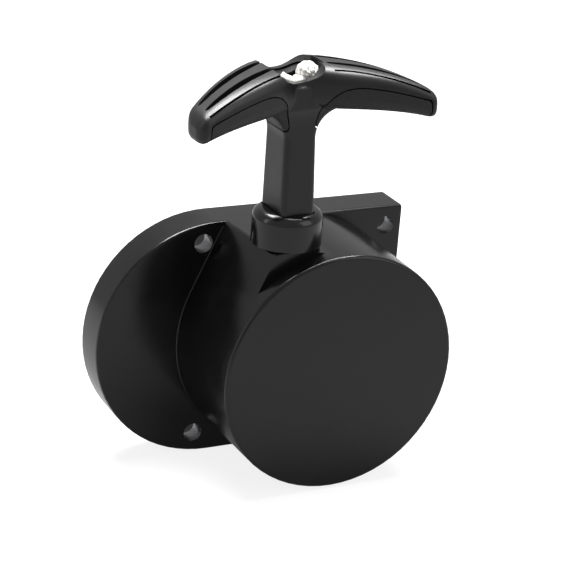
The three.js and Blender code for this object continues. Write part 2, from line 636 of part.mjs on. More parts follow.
function ropeKnot() {
  const route = (points) => points.map(([a, forward, z]) => [gripX(a), gripY(forward), gripZ(z)]);
  const ball = new THREE.SphereGeometry(4.8, 16, 10).translate(...route([[5.2, 1.4, 69]])[0]);
  const neck = tube(route([[0, 0, POCKET_FLOOR + GAP], [0.5, 0.2, 65.5], [2.4, 1, 67.5]]), ROPE_R, 5);
  const tail = tube(route([[3.6, 2.6, 68], [0.4, 3.8, 66.6], [-2.6, 3.8, 66.8], [-5.2, 2.6, 67.8],
    [-6.6, 1, 68.8]]), ROPE_R, 12);
  return leaned(solid(ball).add(neck).add(tail));
}

// ---- clutch -------------------------------------------------------------------------------
// Each pawl is drawn for the pivot straight above the drum's axis and then turned to its place.
function pawl(angle) {
  const pivot = [0, PAWL_PIVOT_R];
  const outline = shapeOf([
    ...arc(...pivot, 4.6, Math.PI * 0.5, Math.PI * 1.25, 8),
    [PEG.x - 2.4, PAWL_PIVOT_R + PEG.y - 1.2],
    [PEG.x + 1.6, PAWL_PIVOT_R + PEG.y - PEG_WALL],
    [PEG.x + 3.4, PAWL_PIVOT_R - 4.4],
    [PAWL_LENGTH - 2.6, PAWL_PIVOT_R - 3.8],
    [PAWL_LENGTH, PAWL_PIVOT_R - 1],
    [PAWL_LENGTH - 0.6, PAWL_PIVOT_R + 2.2],
  ]);
  const peg = rodY(PEG.x, PAWL_PIVOT_R + PEG.y, PEG_R, PAWL_BACK - OVERCUT, GUIDE_BACK - 0.2, 16);
  const hole = rodY(...pivot, PIN_R + GAP, 0, 100);
  return turnAboutDrum(plateY(outline, PAWL_FRONT, PAWL_BACK).add(peg).subtract(hole), angle);
}

function pawlPin(angle) {
  return turnAboutDrum(rodY(0, PAWL_PIVOT_R, PIN_R, GROOVE_BACK + 0.1, PAWL_BACK, 20), angle);
}

function helix(cx, cz, r, wire, y0, y1, turns) {
  const points = [];
  const steps = Math.round(turns * 12);
  for (let i = 0; i <= steps; i += 1) {
    const t = (i / steps) * turns * 2 * Math.PI;
    points.push([cx + r * Math.cos(t), y0 + ((y1 - y0) * i) / steps, cz + r * Math.sin(t)]);
  }
  return tube(points, wire, steps, 5);
}

function pawlSpring(angle) {
  const wire = 0.35;
  const [front, back] = [REEL_FACE_BACK - 3 + wire + 0.15, REEL_FACE_BACK - wire];
  return turnAboutDrum(helix(0, PAWL_PIVOT_R, 3.7, wire, front, back, 2.5), angle);
}

// The guide's cam slots are what each peg sweeps as pawl and guide turn by the same angle.
function ratchetGuide() {
  let body = rodY(0, 0, GUIDE_R, GUIDE_FRONT, GUIDE_BACK, 40);
  body = body.subtract(rodY(0, 0, BOLT_R + GAP, GUIDE_FRONT - OVERCUT, GUIDE_BACK + OVERCUT));
  const steps = 5;
  for (const angle of pawlAngles) {
    for (let i = 0; i <= steps; i += 1) {
      const swing = (PAWL_SWING * i) / steps;
      const peg = PEG.clone().rotateAround(new THREE.Vector2(), swing);
      peg.y += PAWL_PIVOT_R;
      peg.rotateAround(new THREE.Vector2(), -swing);
      const cut = rodY(peg.x, peg.y, PEG_R + GAP, GUIDE_FRONT - OVERCUT, GUIDE_BACK + OVERCUT, 12);
      body = body.subtract(turnAboutDrum(cut, angle));
    }
    const window = rodY(-14, 6, 5, GUIDE_FRONT - OVERCUT, GUIDE_BACK + OVERCUT);
    body = body.subtract(turnAboutDrum(window, angle));
  }
  return body;
}

function frictionSpring() {
  const wire = 0.35;
  return helix(0, 0, 6, wire, FRICTION_FRONT + wire, FRICTION_FRONT + FRICTION_SPRING_H - wire, 1.2);
}

function washer(outer, front, thick) {
  const inner = BOLT_R + GAP;
  return turned([[inner, front], [outer, front], [outer, front + thick], [inner, front + thick]]);
}

function centreBolt() {
  const shank = rodY(0, 0, BOLT_R, POST_END - BOLT_THREAD, BOLT_HEAD_FRONT + OVERCUT, 20);
  const corner = BOLT_HEAD_FLATS / Math.sqrt(3);
  return shank.add(rodY(0, 0, corner, BOLT_HEAD_FRONT, BOLT_HEAD_FRONT + BOLT_HEAD_H, 6));
}

// ---- assembly -----------------------------------------------------------------------------
const finishes = {
  paintedCasting: { color: 0x1c1c1d, roughness: 0.42, metalness: 0.2 },
  glossPlastic: { color: 0x111112, roughness: 0.22, metalness: 0 },
  mattPlastic: { color: 0x262628, roughness: 0.62, metalness: 0 },
  softGrip: { color: 0x2b2b2d, roughness: 0.85, metalness: 0 },
  steel: { color: 0x9a9c9f, roughness: 0.35, metalness: 1 },
  springSteel: { color: 0x4b4f58, roughness: 0.4, metalness: 1 },
  nylon: { color: 0xd9d6cc, roughness: 0.5, metalness: 0 },
  bronze: { color: 0x9c7a46, roughness: 0.45, metalness: 1 },
  rope: { color: 0xe9e7df, roughness: 0.9, metalness: 0 },
};

const assembly = new THREE.Group();
function place(name, body, finish) {
  const mesh = new THREE.Mesh(geometryOf(body), new THREE.MeshStandardMaterial(finishes[finish]));
  mesh.name = name;
  assembly.add(mesh);
}

place('housing', housing(), 'paintedCasting');
place('collar', collar(), 'glossPlastic');
place('rope_eyelet', eyelet(), 'steel');
place('spring_cup', springCup(), 'steel');
place('recoil_spring', recoilSpring(), 'springSteel');
place('reel', reel(), 'nylon');
place('reel_bush', reelBush(), 'bronze');
place('rope_coil', ropeCoil(), 'rope');
place('rope_end', ropeEnd(), 'rope');
place('rope_run', ropeRun(), 'rope');
place('rope_pull', ropePull(), 'rope');
place('rope_knot', ropeKnot(), 'rope');
place('handle_core', handleCore(), 'mattPlastic');
place('grip_pad_left', gripPad(-1), 'softGrip');
place('grip_pad_right', gripPad(1), 'softGrip');
pawlAngles.forEach((angle, i) => {
  place(`pawl_${i + 1}`, pawl(angle), 'steel');
  place(`pawl_pin_${i + 1}`, pawlPin(angle), 'steel');
  place(`pawl_spring_${i + 1}`, pawlSpring(angle), 'springSteel');
});
place('ratchet_guide', ratchetGuide(), 'nylon');
place('thrust_washer', washer(10.6, THRUST_FRONT, THRUST_THICK), 'steel');
place('friction_spring', frictionSpring(), 'springSteel');
place('retaining_washer', washer(9, WASHER_FRONT, WASHER_THICK), 'steel');
place('centre_bolt', centreBolt(), 'steel');

const bounds = new THREE.Box3().setFromObject(assembly);
const middle = bounds.getCenter(new THREE.Vector3());
assembly.position.set(-middle.x, -middle.y, -bounds.min.z);

const group = new THREE.Group();
group.add(assembly);
group.updateMatrixWorld(true);

export default group;
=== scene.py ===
"""Looks for the hand-pulled recoil starter: painted casting, moulded T-grip, braided rope and
the sprung reel inside. The scene is in metres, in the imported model's frame, and the sizes of the
shapes below are in millimetres unless a comment says otherwise."""
import math

import bmesh
import bpy
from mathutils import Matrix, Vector


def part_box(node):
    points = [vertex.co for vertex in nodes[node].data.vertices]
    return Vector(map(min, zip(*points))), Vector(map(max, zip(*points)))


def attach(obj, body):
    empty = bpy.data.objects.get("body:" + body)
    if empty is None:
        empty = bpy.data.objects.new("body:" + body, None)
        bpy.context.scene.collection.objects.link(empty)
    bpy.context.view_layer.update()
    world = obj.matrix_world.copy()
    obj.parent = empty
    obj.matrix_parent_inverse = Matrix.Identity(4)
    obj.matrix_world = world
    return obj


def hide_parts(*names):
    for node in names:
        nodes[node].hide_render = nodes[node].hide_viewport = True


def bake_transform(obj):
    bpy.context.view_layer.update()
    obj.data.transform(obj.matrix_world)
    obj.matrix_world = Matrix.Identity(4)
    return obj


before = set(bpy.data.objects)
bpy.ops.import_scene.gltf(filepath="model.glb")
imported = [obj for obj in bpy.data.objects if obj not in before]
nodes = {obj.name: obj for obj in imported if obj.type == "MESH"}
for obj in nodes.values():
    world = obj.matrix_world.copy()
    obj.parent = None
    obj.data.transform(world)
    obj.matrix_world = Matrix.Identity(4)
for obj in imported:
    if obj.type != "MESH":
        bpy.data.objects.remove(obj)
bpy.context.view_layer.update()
MM = 0.001

# ---- places taken from the CAD, in millimetres ----------------------------------------------
DRUM_BACK_R = 51.1
FLANGE_FRONT = 47.7
OUTLET_X = -18.9
OUTLET_Y = 20.3
OUTLET_SLOPE = math.radians(25)  # lean of the outlet boss's left wall
ROPE_R = 2.1
BOLT_X = 41.7
BOLT_Z = 42.3
BOLT_R = 4.0
BOSS_TOP = DRUM_BACK_R
STEM_BOTTOM = 6.8
GRIP_LEAN = math.radians(1.8)
GRIP_TURN = math.radians(1.6)

housing_low, housing_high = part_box("housing")
DRUM_CENTRE = Vector(
    (housing_high.x - DRUM_BACK_R * MM, housing_low.y, housing_low.z + DRUM_BACK_R * MM)
)


def at(x, y, z):
    """A place given in millimetres from the centre of the drum's front face."""
    return DRUM_CENTRE + Vector((x, y, z)) * MM


def at_grip(a, forward, z):
    """A place on the grip: millimetres right of the stem, forward of it and above the boss.
    The grip stands in the collar with a slight lean to the left, a little turned about its stem."""
    across = a * math.cos(GRIP_TURN) + forward * math.sin(GRIP_TURN)
    ahead = forward * math.cos(GRIP_TURN) - a * math.sin(GRIP_TURN)
    rise = z - STEM_BOTTOM
    x = across * math.cos(GRIP_LEAN) - rise * math.sin(GRIP_LEAN)
    up = across * math.sin(GRIP_LEAN) + rise * math.cos(GRIP_LEAN)
    return at(OUTLET_X + x, OUTLET_Y - ahead, BOSS_TOP + STEM_BOTTOM + up)


# ---- mesh helpers ---------------------------------------------------------------------------
def new_object(name, verts, faces):
    mesh = bpy.data.meshes.new(name)
    mesh.from_pydata([tuple(v) for v in verts], [], faces)
    mesh.validate()
    obj = bpy.data.objects.new(name, mesh)
    bpy.context.scene.collection.objects.link(obj)
    return obj


def bake(obj):
    """Applies the object's modifiers."""
    graph = bpy.context.evaluated_depsgraph_get()
    mesh = bpy.data.meshes.new_from_object(obj.evaluated_get(graph))
    obj.modifiers.clear()
    obj.data = mesh
    return obj


def combine(base, tool, operation):
    modifier = base.modifiers.new("combine", "BOOLEAN")
    modifier.operation = operation
    modifier.solver = "MANIFOLD"
    modifier.object = tool
    bake(base)
    bpy.data.objects.remove(tool)
    return base


def duplicate(obj, name):
    twin = bpy.data.objects.new(name, obj.data.copy())
    bpy.context.scene.collection.objects.link(twin)
    return twin


def smooth(obj, degrees):
    """Smooth shading, with an edge left sharp where it turns by more than this."""
    for polygon in obj.data.polygons:
        polygon.use_smooth = True
    obj.data.set_sharp_from_angle(angle=math.radians(degrees))
    return obj


def loft(name, rings):
    """A closed skin through rings of points, with a fan on each end."""
    count = len(rings[0])
    verts = [p for ring in rings for p in ring]
    faces = []
    for i in range(len(rings) - 1):
        for j in range(count):
            k = (j + 1) % count
            low, high = i * count, (i + 1) * count
            faces.append((low + j, low + k, high + k, high + j))
    for ring_index, flip in ((0, True), (len(rings) - 1, False)):
        ring = rings[ring_index]
        centre = sum(ring, Vector()) / count
        verts.append(centre)
        hub = len(verts) - 1
        start = ring_index * count
        for j in range(count):
            k = (j + 1) % count
            faces.append((start + k, start + j, hub) if flip else (start + j, start + k, hub))
    obj = new_object(name, verts, faces)
    work = bmesh.new()
    work.from_mesh(obj.data)
    bmesh.ops.recalc_face_normals(work, faces=work.faces)
    work.to_mesh(obj.data)
    work.free()
    return obj


TOOL_REACH = 60  # well past the grip on both sides


def drawn_across(name, outline):
    """An outline of the grip seen from the front, drawn out forward and back."""
    ends = (TOOL_REACH, -TOOL_REACH)
    return loft(name, [[at_grip(a, forward, z) for a, z in outline] for forward in ends])


def drawn_up(name, outline, z_from, z_to):
    """An outline of the grip seen from above, drawn out along its stem."""
    return loft(name, [[at_grip(a, forward, z) for a, forward in outline] for z in (z_from, z_to)])


def remesh(obj, voxel, passes):
    """One even skin over all of the object's closed parts, softened a few times."""
    modifier = obj.modifiers.new("remesh", "REMESH")
    modifier.mode = "VOXEL"
    modifier.voxel_size = voxel * MM
    soften = obj.modifiers.new("soften", "SMOOTH")
    soften.factor = 0.5
    soften.iterations = passes
    return bake(obj)


WELD_DISTANCE = 1e-6  # metres
FLAT_ANGLE = math.radians(0.6)  # faces that turn by less than this are one face


def rounded_copy(node, name, width, segments=2, limit=32):
    """The CAD piece again, with each edge that turns by more than the limit broken."""
    obj = duplicate(nodes[node], name)
    obj.data.materials.clear()
    work = bmesh.new()
    work.from_mesh(obj.data)
    bmesh.ops.remove_doubles(work, verts=work.verts, dist=WELD_DISTANCE)
    bmesh.ops.dissolve_limit(work, angle_limit=FLAT_ANGLE, verts=work.verts, edges=work.edges)
    work.to_mesh(obj.data)
    work.free()
    bevel = obj.modifiers.new("round", "BEVEL")
    bevel.width = width * MM
    bevel.segments = segments
    bevel.limit_method = "ANGLE"
    bevel.angle_limit = math.radians(limit)
    bevel.harden_normals = False
    bake(obj)
    smooth(obj, 40)
    weigh = obj.modifiers.new("weigh", "WEIGHTED_NORMAL")
    weigh.keep_sharp = True
    bake(obj)
    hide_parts(node)
    return obj


# ---- materials ------------------------------------------------------------------------------
# the Mix node's sockets when it mixes colours
MIX_FACTOR = 0
MIX_DARK = 6
MIX_LIGHT = 7
MIX_RESULT = 2

# the part of a noise texture's values that nearly all of it falls in
NOISE_LOW = 0.3
NOISE_HIGH = 0.7


def noise(tree, coordinates, scale, detail, stretch=(1, 1, 1)):
    mapping = tree.nodes.new("ShaderNodeMapping")
    mapping.inputs["Scale"].default_value = stretch
    tree.links.new(coordinates, mapping.inputs["Vector"])
    texture = tree.nodes.new("ShaderNodeTexNoise")
    texture.inputs["Scale"].default_value = scale
    texture.inputs["Detail"].default_value = detail
    tree.links.new(mapping.outputs["Vector"], texture.inputs["Vector"])
    return texture.outputs["Fac"]


def ranged(tree, value, low, high):
    """Spreads a noise value over a range."""
    node = tree.nodes.new("ShaderNodeMapRange")
    node.inputs["From Min"].default_value = NOISE_LOW
    node.inputs["From Max"].default_value = NOISE_HIGH
    node.inputs["To Min"].default_value = low
    node.inputs["To Max"].default_value = high
    tree.links.new(value, node.inputs["Value"])
    return node.outputs["Result"]


def finish(name, dark, light, rough, metallic=0.0, patch=90.0, grain=2500.0, bump=0.1,
           depth=0.00005, stretch=(1, 1, 1), braid=0.0, specular=0.5):
    """Two tones mixed by a soft noise, an uneven roughness and a fine grain. With braid, the
    grain also gets cells of that scale."""
    material = bpy.data.materials.new(name)
    material.use_nodes = True
    tree = material.node_tree
    shader = tree.nodes["Principled BSDF"]
    coordinates = tree.nodes.new("ShaderNodeTexCoord").outputs["Object"]
    broad = noise(tree, coordinates, patch, 4.0)
    fine = noise(tree, coordinates, grain, 2.0, stretch)
    mix = tree.nodes.new("ShaderNodeMix")
    mix.data_type = "RGBA"
    mix.inputs[MIX_DARK].default_value = (*dark, 1)
    mix.inputs[MIX_LIGHT].default_value = (*light, 1)
    tree.links.new(ranged(tree, broad, 0, 1), mix.inputs[MIX_FACTOR])
    tree.links.new(mix.outputs[MIX_RESULT], shader.inputs["Base Color"])
    tree.links.new(ranged(tree, broad, *rough), shader.inputs["Roughness"])
    shader.inputs["Metallic"].default_value = metallic
    shader.inputs["Specular IOR Level"].default_value = specular
    height = fine
    if braid:
        cells = tree.nodes.new("ShaderNodeTexVoronoi")
        cells.inputs["Scale"].default_value = braid
        tree.links.new(coordinates, cells.inputs["Vector"])
        add = tree.nodes.new("ShaderNodeMath")
        add.operation = "ADD"
        tree.links.new(cells.outputs["Distance"], add.inputs[0])
        tree.links.new(fine, add.inputs[1])
        height = add.outputs["Value"]
    surface = tree.nodes.new("ShaderNodeBump")
    surface.inputs["Strength"].default_value = bump
    surface.inputs["Distance"].default_value = depth
    tree.links.new(height, surface.inputs["Height"])
    tree.links.new(surface.outputs["Normal"], shader.inputs["Normal"])
    return material


paint = finish("black_paint", (0.0012, 0.0012, 0.0014), (0.0026, 0.0026, 0.0028), (0.17, 0.24),
               patch=60, grain=900, bump=0.05, depth=0.0001, specular=0.4)
bare = finish("bare_aluminium", (0.2, 0.2, 0.21), (0.36, 0.36, 0.37), (0.22, 0.36), 1.0,
              patch=300, grain=2600, bump=0.25, stretch=(1, 6, 1))
gloss = finish("gloss_black", (0.001, 0.001, 0.0012), (0.002, 0.002, 0.0022), (0.16, 0.22),
               patch=80, grain=1500, bump=0.05)
moulded = finish("moulded_black", (0.002, 0.002, 0.0022), (0.004, 0.004, 0.0042), (0.34, 0.42),
                 patch=70, grain=2600, bump=0.15, specular=0.45)
soft = finish("soft_grip_black", (0.003, 0.003, 0.0032), (0.0065, 0.0065, 0.0068), (0.5, 0.6),
              patch=120, grain=3000, bump=0.7, depth=0.00014, braid=1100, specular=0.45)
zinc = finish("zinc_plated", (0.5, 0.5, 0.5), (0.66, 0.65, 0.62), (0.24, 0.38), 1.0, 140, 3000)
spring_blue = finish("blued_spring", (0.1, 0.11, 0.14), (0.2, 0.2, 0.23), (0.28, 0.4), 1.0, 160,
                     2500, stretch=(1, 8, 1))
nylon = finish("natural_nylon", (0.62, 0.6, 0.53), (0.72, 0.7, 0.63), (0.42, 0.52), patch=80)
bronze = finish("sintered_bronze", (0.4, 0.25, 0.11), (0.55, 0.36, 0.16), (0.35, 0.5), 1.0, 200)
braided = finish("braided_rope", (0.42, 0.415, 0.39), (0.8, 0.79, 0.76), (0.75, 0.9), patch=900,
                 grain=5000, bump=0.5, depth=0.00015, braid=1600)


def dress(obj, body, slot, *materials):
    """Gives an object its materials and the body that it rides on; the slot argument is not used."""
    obj.data.materials.clear()
    for material in materials:
        obj.data.materials.append(material)
    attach(obj, body)
    return obj


# ---- housing --------------------------------------------------------------------------------
FACE_TOLERANCE = 0.02
BORE_TOLERANCE = 0.08
FACING_BACK = 0.99  # least Y of the normal of a face that looks along +Y
FACING_ASIDE = 0.3  # greatest Y of the normal of a bore's wall

BEAD_R = 0.45
BEAD_SIDES = 12
BEAD_TOP_GAP = 2  # how far below the boss's top the bead starts
BEAD_WALL_STEPS = 20
BEAD_TURN = math.radians(80)  # how far the bead follows the drum
BEAD_TURN_STEPS = 70


def bare_where_machined(obj):
    """The mating face and the bolt holes carry no paint."""
    mating_y = housing_high.y - FACE_TOLERANCE * MM
    axes = [at(sx * BOLT_X, 0, sz * BOLT_Z) for sx in (-1, 1) for sz in (-1, 1)]
    for polygon in obj.data.polygons:
        centre = polygon.center
        near = min(math.hypot(centre.x - axis.x, centre.z - axis.z) for axis in axes)
        in_bore = near < (BOLT_R + BORE_TOLERANCE) * MM and abs(polygon.normal.y) < FACING_ASIDE
        machined = centre.y > mating_y and polygon.normal.y > FACING_BACK
        polygon.material_index = 1 if in_bore or machined else 0


def bead(name, path, y, radius):
    """A fine raised line of paint, along a path in the XZ plane at one depth."""
    rings = []
    for i, place in enumerate(path):
        along = (path[min(i + 1, len(path) - 1)] - path[max(i - 1, 0)]).normalized()
        ring = []
        for j in range(BEAD_SIDES):
            t = 2 * math.pi * j / BEAD_SIDES
            out = radius * math.cos(t)
            ring.append(at(place.x - along.y * out, y + radius * math.sin(t), place.y + along.x * out))
        rings.append(ring)
    return smooth(loft(name, rings), 60)


def straight(start, end, steps):
    """Places from the start on, without the end."""
    return [start.lerp(end, i / steps) for i in range(steps)]


def around_drum(radius, start, turn, steps):
    angles = [start + turn * i / steps for i in range(steps + 1)]
    return [Vector((math.cos(t), math.sin(t))) * radius for t in angles]


def root_path():
    """Where the outlet boss's left wall and the drum meet the flange, as X and Z."""
    wall = Vector((math.sin(OUTLET_SLOPE), math.cos(OUTLET_SLOPE)))
    leave = math.pi - OUTLET_SLOPE
    foot = Vector((math.cos(leave), math.sin(leave))) * DRUM_BACK_R
    crest = foot + wall * (BOSS_TOP - BEAD_TOP_GAP - foot.y) / wall.y
    drum = around_drum(DRUM_BACK_R, leave, BEAD_TURN, BEAD_TURN_STEPS)
    return straight(crest, foot, BEAD_WALL_STEPS) + drum


casting = rounded_copy("housing", "housing_casting", 0.7, 3, 24)
dress(casting, "case", "painted_casting", paint, bare)
bare_where_machined(casting)
root_bead = bead("root_bead", root_path(), FLANGE_FRONT, BEAD_R)
dress(root_bead, "case", "painted_casting", paint)

collar = rounded_copy("collar", "collar_boot", 0.35, 2, 40)
dress(collar, "case", "gloss_plastic", gloss)

# ---- T-grip ---------------------------------------------------------------------------------
STEM_HALF_X = 7.4
STEM_HALF_Y = 9.65
STEM_TAPER = 0.65
STEM_CORNER_R = 2.1  # 2.6 in the CAD, because the remesh rounds this one further
STEM_LEAST_CORNER_R = 0.5
STEM_STEPS = 60
CROTCH_Z = 44.8
CROTCH_R = 12
CROTCH_THINNING = 0.3  # how much thinner the stem is at the outer ends of its flare
BAR_ASIDE = -0.5
BAR_BACK = 2.3
ARM_REACH = 50.8
ARM_TOP = 73.8
ARM_UNDERSIDE = 56.1
ARM_TOP_DROP = 11
ARM_TOP_POWER = 2.7
ARM_UNDERSIDE_DROP = 3.7
ARM_UNDERSIDE_POWER = 4
ARM_HALF_D = 15.2
ARM_DEPTH_POWER = 1.9
ARM_SQUARENESS = 0.57
ARM_WAIST = 3.6
ARM_WAIST_REACH = 9
ARM_TIP_HALF_D = 7.3
ARM_TIP_LENGTH = 4
ARM_TIP_SPAN = 4.3  # over which the tip would close, so that it keeps a small end face
ARM_TIP_POWER = 2.6
ARM_SWEEP = 0.5
ARM_SWEEP_START = 6  # how far from the middle the sweep has set in
ARM_STEPS = 110
ARM_SIDES = 56
ARM_CROWDING = 0.35  # how much closer the rings lie towards the tips
GRIP_VOXEL = 0.42
GRIP_SOFTENING = 3
SADDLE_R = 13
SADDLE_ASIDE = -2
SADDLE_Z = 66.9
SADDLE_LIP = 0.9
SADDLE_STEPS = 96
POCKET_FLOOR = 63
POCKET_HALF_X = 9.6
POCKET_HALF_Y = 6.3
POCKET_CORNER_R = 3
POCKET_ASIDE = 0.7
POCKET_FORWARD = 0.3
POCKET_TOOL_H = 20
BORE_R = ROPE_R + 0.5
BORE_STEPS = 32
PAD_THICK = 2.2
PAD_GAP = 0.3  # clearance under a pad
PAD_BELOW = 40  # height well under the arms, where a pad's outline closes
SEAM = 0.5
SLOT_FROM = 11.5
SLOT_TO = 46.5
SLOT_WIDTH = 4.4
SLOT_DEPTH = 6.0
SLOT_TAPER = 0.35
SLOT_OFFSETS = (-5, 4.6)
SLOT_NARROWING = 0.65  # share of the taper that the width takes
SLOT_SHALLOWING = 0.6  # share of the taper that the depth takes
SLOT_FLOOR_SHARE = 0.7  # width of the slot's floor, of its mouth's
SLOT_END_POWER = 0.25  # how bluntly a slot ends
SLOT_END_SHARE = 0.02  # where its first ring stands, of its length
SLOT_STEPS = 32
SLOT_TOOL_H = 3
CREASE_OFFSET = 9.8
CREASE_WIDTH = 0.9
CREASE_DEPTH = 0.4
CREASE_STEPS = 40
CREASE_GREATEST_SHARE = 0.95  # of the arm's half depth, so that it stays on the arm
CREASE_LEAN = 1.5  # how far the cutting tool leans forward at its top
CREASE_FRONT_H = 2
CREASE_BACK_H = 2.5


def arm_sweep(a):
    """How far forward the crossbar's middle is, this far from the stem."""
    return ARM_SWEEP * (math.hypot(a, ARM_SWEEP_START) - ARM_SWEEP_START)


def arm_top(a):
    return ARM_TOP - ARM_TOP_DROP * (abs(a) / ARM_REACH) ** ARM_TOP_POWER


def arm_underside(a):
    return ARM_UNDERSIDE - ARM_UNDERSIDE_DROP * (abs(a) / ARM_REACH) ** ARM_UNDERSIDE_POWER


def arm_middle(a):
    return (arm_top(a) + arm_underside(a)) / 2


def arm_half_height(a):
    return (arm_top(a) - arm_underside(a)) / 2


def arm_half_depth(a):
    waist = ARM_WAIST * math.exp(-((a / ARM_WAIST_REACH) ** 2))
    thinning = (abs(a) / ARM_REACH) ** ARM_DEPTH_POWER
    return ARM_HALF_D - waist - (ARM_HALF_D - ARM_TIP_HALF_D) * thinning


def arm_bar(inset):
    """The crossbar, drawn in by the inset on every side."""
    reach = ARM_REACH - inset
    rings = []
    for i in range(ARM_STEPS + 1):
        u = -1 + 2 * i / ARM_STEPS
        a = reach * (ARM_CROWDING * math.sin(u * math.pi / 2) + (1 - ARM_CROWDING) * u)
        into_tip = max(0.0, abs(a) - (reach - ARM_TIP_LENGTH)) / ARM_TIP_SPAN
        shrink = math.sqrt(1 - into_tip**ARM_TIP_POWER)
        depth = (arm_half_depth(a) - inset) * shrink
        height = (arm_half_height(a) - inset) * shrink
        ring = []
        for j in range(ARM_SIDES):
            t = 2 * math.pi * j / ARM_SIDES
            c, s = math.cos(t), math.sin(t)
            across = math.copysign(abs(c) ** ARM_SQUARENESS, c)
            up = math.copysign(abs(s) ** ARM_SQUARENESS, s)
            forward = arm_sweep(a) - BAR_BACK - depth * across
            ring.append(at_grip(a + BAR_ASIDE, forward, arm_middle(a) + height * up))
        rings.append(ring)
    return loft("arm_bar", rings)


def rounded_rectangle(half_x, half_y, r):
    points = []
    steps = 6
    for quarter, (sx, sy) in enumerate(((1, 1), (-1, 1), (-1, -1), (1, -1))):
        for i in range(steps + 1):
            t = (quarter + i / steps) * math.pi / 2
            points.append((sx * (half_x - r) + r * math.cos(t), sy * (half_y - r) + r * math.sin(t)))
    return points


def circle(a, b, r, steps):
    turns = [2 * math.pi * i / steps for i in range(steps)]
    return [(a + r * math.cos(t), b + r * math.sin(t)) for t in turns]


def stem(inset):
    """The stem from the collar up into the crossbar, flared where they meet."""
    top = arm_middle(0) + 1
    rings = []
    for i in range(STEM_STEPS + 1):
        z = STEM_BOTTOM + (top - STEM_BOTTOM) * i / STEM_STEPS
        taper = STEM_TAPER * min(1, (z - STEM_BOTTOM) / (CROTCH_Z - STEM_BOTTOM))
        rise = min(1, max(0, z - CROTCH_Z) / CROTCH_R)
        flare = CROTCH_R * (1 - math.sqrt(1 - rise**2))
        half_x = STEM_HALF_X - taper + flare - inset
        half_y = STEM_HALF_Y - taper - inset
        corner_r = max(STEM_LEAST_CORNER_R, STEM_CORNER_R - inset)
        ring = []
        for x, forward in rounded_rectangle(half_x, half_y, corner_r):
            forward *= 1 - CROTCH_THINNING * rise * (x / (STEM_HALF_X + CROTCH_R)) ** 2
            back = BAR_BACK * abs(x) / STEM_HALF_X / 2
            ring.append(at_grip(x, forward + rise * (arm_sweep(x) - back), z))
        rings.append(ring)
    return loft("stem", rings)


def grip_body(name, inset):
    """Stem and arms as one moulding with soft inside corners."""
    parts = [arm_bar(inset), stem(inset)]
    mesh = bpy.data.meshes.new(name)
    work = bmesh.new()
    for part in parts:
        work.from_mesh(part.data)
        bpy.data.objects.remove(part)
    work.to_mesh(mesh)
    work.free()
    obj = bpy.data.objects.new(name, mesh)
    bpy.context.scene.collection.objects.link(obj)
    return remesh(obj, GRIP_VOXEL, GRIP_SOFTENING)


def soften_corners(points):
    """Corner cutting, twice, so that a seam runs in curves."""
    for _ in range(2):
        cut = []
        for (x0, y0), (x1, y1) in zip(points, points[1:] + points[:1]):
            cut.append((0.75 * x0 + 0.25 * x1, 0.75 * y0 + 0.25 * y1))
            cut.append((0.25 * x0 + 0.75 * x1, 0.25 * y0 + 0.75 * y1))
        points = cut
    return points


def pad_region(side, grow):
    """All of one side of the grip that is below its pad's seam, larger by grow."""
    seam = [
        (5.6 - grow, 48.5 - grow), (6.6 - grow, 54.3), (8.6 - grow, 60.2),
        (12.3 - grow * 0.7, 64.3 + grow * 0.7), (17, 66 + grow), (22, 66 + grow),
        (30, 64.8 + grow), (36, 63.4 + grow), (44.6 + grow, 61 + grow), (46 + grow, 60.3 + grow),
        (46.4 + grow, 58), (46.6 + grow, PAD_BELOW), (14, PAD_BELOW), (14, 48.5 - grow),
    ]
    return drawn_across("pad_region", [(side * a, z) for a, z in soften_corners(seam)])


def slot_taper(a):
    """How wide and deep a slot still is, this far along the arm."""
    return 1 - SLOT_TAPER * (a / SLOT_TO) ** 3


def arm_slot(side, offset):
    """The tool that cuts one long slot in the top of an arm."""
    rings = []
    for i in range(SLOT_STEPS + 1):
        a = SLOT_FROM + (SLOT_TO - SLOT_FROM) * i / SLOT_STEPS
        taper = slot_taper(a)
        end = math.sin(math.pi * max(SLOT_END_SHARE, i / SLOT_STEPS)) ** SLOT_END_POWER
        half = SLOT_WIDTH * (1 - SLOT_NARROWING + SLOT_NARROWING * taper) * 0.5 * end
        floor_half = half * SLOT_FLOOR_SHARE
        middle = arm_sweep(a) - BAR_BACK + offset * taper
        mouth = arm_top(a) + SLOT_TOOL_H
        bottom = arm_top(a) - SLOT_DEPTH * (1 - SLOT_SHALLOWING + SLOT_SHALLOWING * taper)
        place = side * a + BAR_ASIDE
        rings.append([
            at_grip(place, middle + half, mouth), at_grip(place, middle - half, mouth),
            at_grip(place, middle - floor_half, bottom), at_grip(place, middle + floor_half, bottom),
        ])
    return loft("arm_slot", rings)


def arm_crease(side):
    """The tool for a fine line along the front shoulder of an arm, at one depth below it."""
    rings = []
    half = CREASE_WIDTH / 2
    for i in range(CREASE_STEPS + 1):
        a = SLOT_FROM + (SLOT_TO - SLOT_FROM) * i / CREASE_STEPS
        offset = CREASE_OFFSET * slot_taper(a)
        share = min(CREASE_GREATEST_SHARE, offset / arm_half_depth(a))
        height = arm_half_height(a) * (1 - share ** (1 / ARM_SQUARENESS)) ** ARM_SQUARENESS
        surface = arm_middle(a) + height
        bottom = surface - CREASE_DEPTH
        forward = arm_sweep(a) - BAR_BACK + offset
        place = side * a + BAR_ASIDE
        rings.append([
            at_grip(place, forward + half + CREASE_LEAN, surface + CREASE_FRONT_H),
            at_grip(place, forward - half + CREASE_LEAN, surface + CREASE_BACK_H),
            at_grip(place, forward - half, bottom + half),
            at_grip(place, forward + half, bottom - half),
        ])
    return loft("arm_crease", rings)


